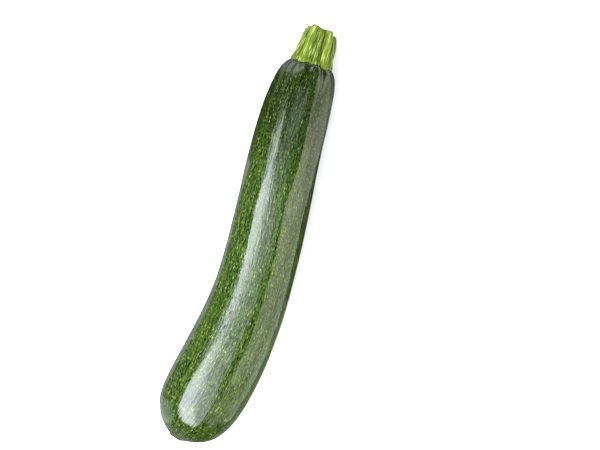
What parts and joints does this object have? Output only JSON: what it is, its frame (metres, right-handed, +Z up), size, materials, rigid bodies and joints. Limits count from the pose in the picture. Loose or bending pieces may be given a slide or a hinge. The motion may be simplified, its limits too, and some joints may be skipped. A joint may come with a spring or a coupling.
{
  "type": "courgette",
  "caption": "Whole courgette as picked, lying on its side: a slightly bent, faintly ridged fruit with a ribbed, cut stalk and a blossom scar.",
  "frame": {"origin": "on the surface it lies on, under the middle of its bounding box", "axes": "+X from the blossom end to the stalk, +Y to the inside of the bend, +Z up"},
  "size_m": [0.219, 0.046, 0.0412],
  "materials": {
    "skin": "smooth waxy skin, dark green with fine pale flecks",
    "stalk": "fibrous light green stalk, pale where it is cut"
  },
  "bodies": {
    "root": {"fruit": "skin", "stalk": "stalk"}
  },
  "joints": []
}
